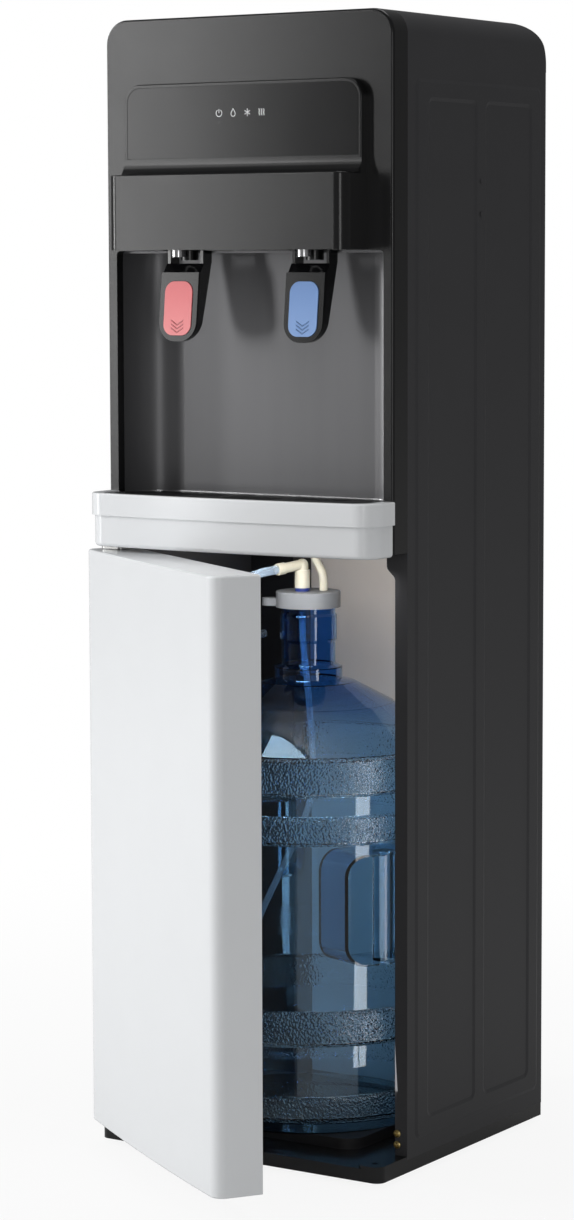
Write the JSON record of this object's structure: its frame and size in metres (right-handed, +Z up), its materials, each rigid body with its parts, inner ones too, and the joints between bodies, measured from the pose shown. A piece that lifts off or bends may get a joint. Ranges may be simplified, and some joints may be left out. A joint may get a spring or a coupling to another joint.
{
  "type": "bottom load water cooler",
  "caption": "Slim charcoal and white bottom load water cooler with its door ajar on a blue bottle, two paddle faucets over a drip tray, and a wire condenser on the back.",
  "frame": {"origin": "on the floor, in the cabinet's plane of symmetry, under the middle of the whole depth as stored, with the door ajar", "axes": "+Z up, +Y from the front to the back, +X to the right for someone facing the front"},
  "size_m": [0.3196, 0.4912, 1.05],
  "materials": {
    "charcoal_case": "semi-matt charcoal with a fine texture",
    "charcoal_plastic": "semi-matt charcoal",
    "rear_steel": "satin grey paint",
    "bay_beige": "satin beige-grey",
    "black_plastic": "matt black",
    "gloss_black": "gloss black",
    "white_gloss": "gloss white",
    "grey_inner": "satin warm grey",
    "niche_silver": "satin dark silver",
    "icon_lens": "dark clear lens",
    "nozzle_steel": "satin steel",
    "pad_red": "satin red",
    "pad_blue": "satin blue",
    "bottle_blue": "clear blue, slightly hazy",
    "cap_grey": "light grey",
    "fitting_cream": "milky cream",
    "collet_blue": "dark blue",
    "hose_clear": "milky clear",
    "screw_brass": "yellow-passivated",
    "zinc_steel": "zinc-plated",
    "stainless": "dull stainless",
    "black_enamel": "gloss black enamel",
    "board_green": "solder-masked board",
    "magnet_strip": "matt black",
    "switch_red": "gloss red",
    "switch_green": "gloss green",
    "foot_rubber": "black rubber"
  },
  "bodies": {
    "cabinet": {"right_side_panel": "charcoal_case", "left_side_panel": "charcoal_case", "panel_rivets": "charcoal_case", "rear_cover": "rear_steel", "bay_rear_panel": "bay_beige", "compartment_shelf": "bay_beige", "base_plinth": "charcoal_plastic", "levelling_feet": "foot_rubber", "bottle_stand": "black_plastic", "top_cover": "charcoal_plastic", "front_bezel": "charcoal_plastic", "niche_liner": "niche_silver", "spout_housing": "charcoal_plastic", "control_panel": "charcoal_plastic", "indicator_lenses": "icon_lens", "control_board": "board_green", "hot_faucet": "charcoal_plastic", "cold_faucet": "charcoal_plastic", "nozzle_sleeves": "nozzle_steel", "faucet_screws": "zinc_steel", "paddle_pins": "nozzle_steel", "paddle_springs": "zinc_steel", "drip_tray_housing": "white_gloss", "hinge_pins": "zinc_steel", "hinge_washer": "fitting_cream", "hinge_bracket": "zinc_steel", "flange_screws": "screw_brass", "bottle": "bottle_blue", "bottle_cap": "cap_grey", "fitting_collet": "collet_blue", "elbow_fitting": "fitting_cream", "suction_hose": "hose_clear", "vent_hose": "fitting_cream", "probe_tube": "hose_clear", "hose_duct": "black_plastic", "tank_shelf": "rear_steel", "cold_tank": "stainless", "hot_tank": "stainless", "compressor": "black_enamel", "water_pump": "black_plastic", "condenser_tube": "black_enamel", "condenser_wires": "black_enamel", "condenser_brackets": "black_plastic", "switch_frames": "black_plastic", "power_inlet": "black_plastic", "drain_plug": "black_plastic"},
    "door": {"door_shell": "white_gloss", "door_liner": "grey_inner", "door_magnet": "magnet_strip"},
    "hot_paddle": {"hot_paddle_arm": "gloss_black", "hot_paddle_cover": "charcoal_plastic", "hot_pad": "pad_red"},
    "cold_paddle": {"cold_paddle_arm": "gloss_black", "cold_paddle_cover": "charcoal_plastic", "cold_pad": "pad_blue"},
    "drip_basin": {"drip_basin": "black_plastic"},
    "drip_grille": {"drip_grille": "black_plastic", "grille_trim": "nozzle_steel"},
    "hot_switch": {"hot_switch": "switch_red"},
    "cold_switch": {"cold_switch": "switch_green"}
  },
  "joints": [
    {"name": "door_hinge", "type": "hinge", "parent": "cabinet", "child": "door", "pos_m": [-0.142, -0.0656, 0.3], "axis": [0, 0, -1], "range_deg": [-33.5, 75]},
    {"name": "hot_paddle_hinge", "type": "hinge", "parent": "cabinet", "child": "hot_paddle", "pos_m": [-0.068, -0.047, 0.856], "axis": [1, 0, 0], "range_deg": [0, 8], "stiffness_Nm_per_rad": 0.4, "springref_deg": -6.88},
    {"name": "cold_paddle_hinge", "type": "hinge", "parent": "cabinet", "child": "cold_paddle", "pos_m": [0.068, -0.047, 0.856], "axis": [1, 0, 0], "range_deg": [0, 8], "stiffness_Nm_per_rad": 0.4, "springref_deg": -6.88},
    {"name": "basin_lift", "type": "slide", "parent": "cabinet", "child": "drip_basin", "axis": [0, 0, 1], "range_m": [0, 0.06]},
    {"name": "grille_lift", "type": "slide", "parent": "drip_basin", "child": "drip_grille", "axis": [0, 0, 1], "range_m": [0, 0.03]},
    {"name": "hot_switch_rock", "type": "hinge", "parent": "cabinet", "child": "hot_switch", "pos_m": [0.092, 0.217, 0.852], "axis": [1, 0, 0], "range_deg": [0, 12]},
    {"name": "cold_switch_rock", "type": "hinge", "parent": "cabinet", "child": "cold_switch", "pos_m": [0.118, 0.217, 0.852], "axis": [1, 0, 0], "range_deg": [0, 12]}
  ]
}
